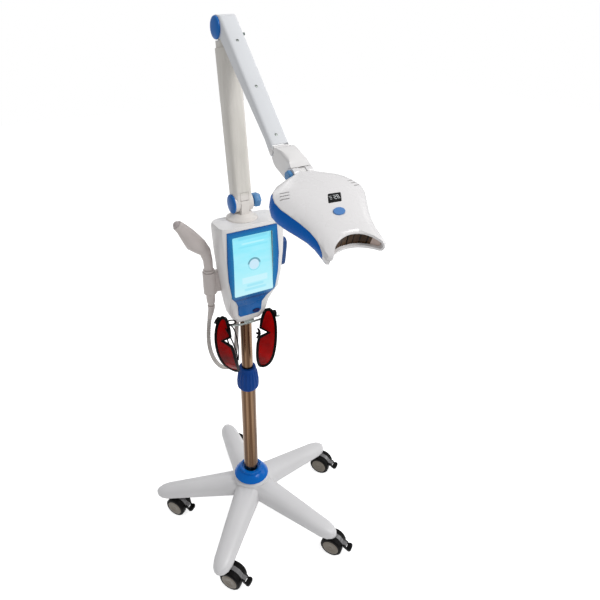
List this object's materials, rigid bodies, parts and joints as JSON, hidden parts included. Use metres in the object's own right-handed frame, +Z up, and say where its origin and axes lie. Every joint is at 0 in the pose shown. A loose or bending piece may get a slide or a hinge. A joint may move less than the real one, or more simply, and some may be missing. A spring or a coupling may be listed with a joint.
{
  "type": "teeth whitening lamp",
  "caption": "Mobile teeth whitening lamp with a castor base, telescopic pole, control box with touch screen, folding arm and flared light head.",
  "frame": {"origin": "centre of the footprint of the whole lamp, at floor level", "axes": "+Z up; the touch screen and the lamp head face -Y; +X is the side of the blue grip and of the elbow lever"},
  "size_m": [0.532, 0.6722, 1.276],
  "materials": {
    "base_white": "white powder coat",
    "trim_blue": "glossy moulded blue",
    "pole_chrome": "polished",
    "zinc": "zinc plated",
    "sleeve_blue": "ribbed satin blue",
    "castor_grey": "satin grey",
    "castor_black": "black nylon",
    "shell_white": "semi-gloss white",
    "bezel_blue": "glossy blue",
    "screen_pane": "glossy glass over a light screen",
    "deep_blue": "glossy deep blue",
    "board_green": "satin board",
    "aluminium": "satin",
    "cup_grey": "satin grey",
    "cable_grey": "satin grey jacket",
    "lens_black": "dark glossy lens",
    "goggle_red": "transparent red",
    "goggle_black": "satin black",
    "arm_cream": "warm white paint",
    "display_black": "dark glossy",
    "window_amber": "tinted transparent",
    "fan_black": "satin black"
  },
  "bodies": {
    "base": {"star_base": "base_white", "base_collar": "trim_blue", "lower_pole": "pole_chrome", "pole_nut": "zinc"},
    "sleeve": {"clamp_sleeve": "sleeve_blue"},
    "column": {"upper_pole": "pole_chrome", "box_rear_shell": "shell_white", "box_front_shell": "shell_white", "screen_bezel": "bezel_blue", "touch_screen": "screen_pane", "side_grip": "deep_blue", "control_board": "board_green", "power_supply": "aluminium", "handpiece_holder": "cup_grey", "handpiece_cable": "cable_grey", "hook_rail": "zinc"},
    "key": {"power_key": "deep_blue"},
    "handpiece": {"handpiece_body": "cup_grey", "handpiece_lens": "lens_black"},
    "goggles_left": {"goggles_left_lens": "goggle_red", "goggles_left_frame": "goggle_black"},
    "goggles_right": {"goggles_right_lens": "goggle_red", "goggles_right_frame": "goggle_black"},
    "swivel": {"turret": "arm_cream"},
    "lower_link": {"lower_arm": "arm_cream", "foot_cap": "trim_blue"},
    "foot_clamp": {"foot_knob": "trim_blue"},
    "upper_link": {"forearm_cover": "shell_white", "forearm_tray": "shell_white", "balance_spring": "zinc", "elbow_cap": "trim_blue"},
    "elbow_clamp": {"elbow_lever": "zinc"},
    "wrist": {"wrist_knuckle": "shell_white", "wrist_pin": "zinc"},
    "head": {"head_top_shell": "shell_white", "head_bottom_shell": "shell_white", "head_panel_right": "deep_blue", "head_panel_left": "deep_blue", "head_display": "display_black", "light_window": "window_amber", "led_board": "board_green", "heat_sink": "aluminium"},
    "head_clamp": {"wrist_knob": "trim_blue"},
    "head_key": {"head_button": "trim_blue"},
    "fan": {"cooling_fan": "fan_black"},
    "castor_1_fork": {"castor_1_yoke": "castor_grey"},
    "castor_1_pair": {"castor_1_wheels": "castor_black"},
    "castor_1_pedal": {"castor_1_brake": "castor_black"},
    "castor_2_fork": {"castor_2_yoke": "castor_grey"},
    "castor_2_pair": {"castor_2_wheels": "castor_black"},
    "castor_2_pedal": {"castor_2_brake": "castor_black"},
    "castor_3_fork": {"castor_3_yoke": "castor_grey"},
    "castor_3_pair": {"castor_3_wheels": "castor_black"},
    "castor_3_pedal": {"castor_3_brake": "castor_black"},
    "castor_4_fork": {"castor_4_yoke": "castor_grey"},
    "castor_4_pair": {"castor_4_wheels": "castor_black"},
    "castor_4_pedal": {"castor_4_brake": "castor_black"},
    "castor_5_fork": {"castor_5_yoke": "castor_grey"},
    "castor_5_pair": {"castor_5_wheels": "castor_black"},
    "castor_5_pedal": {"castor_5_brake": "castor_black"}
  },
  "joints": [
    {"name": "castor_1_swivel", "type": "hinge", "parent": "base", "child": "castor_1_fork", "pos_m": [-0.23238, 0.17144, 0.065], "axis": [0, 0, 1], "continuous": true},
    {"name": "castor_1_roll", "type": "hinge", "parent": "castor_1_fork", "child": "castor_1_pair", "pos_m": [-0.2164, 0.14845, 0.02856], "axis": [0.8211, 0.5707, 0], "continuous": true},
    {"name": "castor_1_pedal_tilt", "type": "hinge", "parent": "castor_1_fork", "child": "castor_1_pedal", "pos_m": [-0.19728, 0.12094, 0.03756], "axis": [0.8211, 0.5707, 0], "range_deg": [0, 12]},
    {"name": "castor_2_swivel", "type": "hinge", "parent": "base", "child": "castor_2_fork", "pos_m": [-0.18596, -0.10303, 0.065], "axis": [0, 0, 1], "continuous": true},
    {"name": "castor_2_roll", "type": "hinge", "parent": "castor_2_fork", "child": "castor_2_pair", "pos_m": [-0.16998, -0.12603, 0.02856], "axis": [0.8211, 0.5707, 0], "continuous": true},
    {"name": "castor_2_pedal_tilt", "type": "hinge", "parent": "castor_2_fork", "child": "castor_2_pedal", "pos_m": [-0.15086, -0.15353, 0.03756], "axis": [0.8211, 0.5707, 0], "range_deg": [0, 12]},
    {"name": "castor_3_swivel", "type": "hinge", "parent": "base", "child": "castor_3_fork", "pos_m": [0.08943, -0.1437, 0.065], "axis": [0, 0, 1], "continuous": true},
    {"name": "castor_3_roll", "type": "hinge", "parent": "castor_3_fork", "child": "castor_3_pair", "pos_m": [0.10541, -0.16669, 0.02856], "axis": [0.8211, 0.5707, 0], "continuous": true},
    {"name": "castor_3_pedal_tilt", "type": "hinge", "parent": "castor_3_fork", "child": "castor_3_pedal", "pos_m": [0.12453, -0.1942, 0.03756], "axis": [0.8211, 0.5707, 0], "range_deg": [0, 12]},
    {"name": "castor_4_swivel", "type": "hinge", "parent": "base", "child": "castor_4_fork", "pos_m": [0.2132, 0.10564, 0.065], "axis": [0, 0, 1], "continuous": true},
    {"name": "castor_4_roll", "type": "hinge", "parent": "castor_4_fork", "child": "castor_4_pair", "pos_m": [0.22918, 0.08265, 0.02856], "axis": [0.8211, 0.5707, 0], "continuous": true},
    {"name": "castor_4_pedal_tilt", "type": "hinge", "parent": "castor_4_fork", "child": "castor_4_pedal", "pos_m": [0.2483, 0.05514, 0.03756], "axis": [0.8211, 0.5707, 0], "range_deg": [0, 12]},
    {"name": "castor_5_swivel", "type": "hinge", "parent": "base", "child": "castor_5_fork", "pos_m": [0.01431, 0.30041, 0.065], "axis": [0, 0, 1], "continuous": true},
    {"name": "castor_5_roll", "type": "hinge", "parent": "castor_5_fork", "child": "castor_5_pair", "pos_m": [0.03029, 0.27742, 0.02856], "axis": [0.8211, 0.5707, 0], "continuous": true},
    {"name": "castor_5_pedal_tilt", "type": "hinge", "parent": "castor_5_fork", "child": "castor_5_pedal", "pos_m": [0.04941, 0.24991, 0.03756], "axis": [0.8211, 0.5707, 0], "range_deg": [0, 12]},
    {"name": "sleeve_turn", "type": "hinge", "parent": "base", "child": "sleeve", "pos_m": [-0.02028, 0.06615, 0.47], "axis": [0, 0, 1], "range_deg": [-90, 90]},
    {"name": "column_lift", "type": "slide", "parent": "base", "child": "column", "axis": [0, 0, 1], "range_m": [-0.03, 0.12]},
    {"name": "key_press", "type": "slide", "parent": "column", "child": "key", "axis": [0, 1, 0], "range_m": [0, 0.0012], "stiffness_N_per_m": 400},
    {"name": "handpiece_lift", "type": "slide", "parent": "column", "child": "handpiece", "axis": [0, 0, 1], "range_m": [0, 0.045]},
    {"name": "goggles_left_swing", "type": "hinge", "parent": "column", "child": "goggles_left", "pos_m": [-0.09828, 0.04555, 0.6663], "axis": [0.7901, -0.613, 0], "range_deg": [-30, 0]},
    {"name": "goggles_right_swing", "type": "hinge", "parent": "column", "child": "goggles_right", "pos_m": [0.03872, 0.02675, 0.6541], "axis": [0.9507, -0.3102, 0], "range_deg": [-15, 0]},
    {"name": "turret_swivel", "type": "hinge", "parent": "column", "child": "swivel", "pos_m": [-0.02028, 0.06615, 0.9], "axis": [0, 0, 1], "range_deg": [-170, 170]},
    {"name": "lower_arm_tilt", "type": "hinge", "parent": "swivel", "child": "lower_link", "pos_m": [-0.02028, 0.06615, 0.93], "axis": [1, 0, 0], "range_deg": [-25, 35]},
    {"name": "foot_knob_turn", "type": "hinge", "parent": "lower_link", "child": "foot_clamp", "pos_m": [0.00972, 0.06615, 0.93], "axis": [1, 0, 0], "range_deg": [0, 270]},
    {"name": "elbow_tilt", "type": "hinge", "parent": "lower_link", "child": "upper_link", "pos_m": [-0.02028, 0.10815, 1.255], "axis": [1, 0, 0], "range_deg": [-95, 1]},
    {"name": "elbow_lever_turn", "type": "hinge", "parent": "upper_link", "child": "elbow_clamp", "pos_m": [0.00172, 0.10815, 1.255], "axis": [1, 0, 0], "range_deg": [-90, 0]},
    {"name": "wrist_tilt", "type": "hinge", "parent": "upper_link", "child": "wrist", "pos_m": [-0.02028, -0.10147, 1.0762], "axis": [1, 0, 0], "range_deg": [-35, 30]},
    {"name": "head_tilt", "type": "hinge", "parent": "wrist", "child": "head", "pos_m": [-0.02028, -0.16934, 1.05216], "axis": [1, 0, 0], "range_deg": [-45, 32]},
    {"name": "wrist_knob_turn", "type": "hinge", "parent": "wrist", "child": "head_clamp", "pos_m": [-0.04428, -0.16934, 1.05216], "axis": [-1, 0, 0], "range_deg": [0, 270]},
    {"name": "head_button_press", "type": "slide", "parent": "head", "child": "head_key", "axis": [0, 0.4067, -0.9135], "range_m": [0, 0.0012], "stiffness_N_per_m": 400},
    {"name": "fan_spin", "type": "hinge", "parent": "head", "child": "fan", "pos_m": [-0.02028, -0.20791, 1.03061], "axis": [0, -0.4067, 0.9135], "continuous": true}
  ]
}
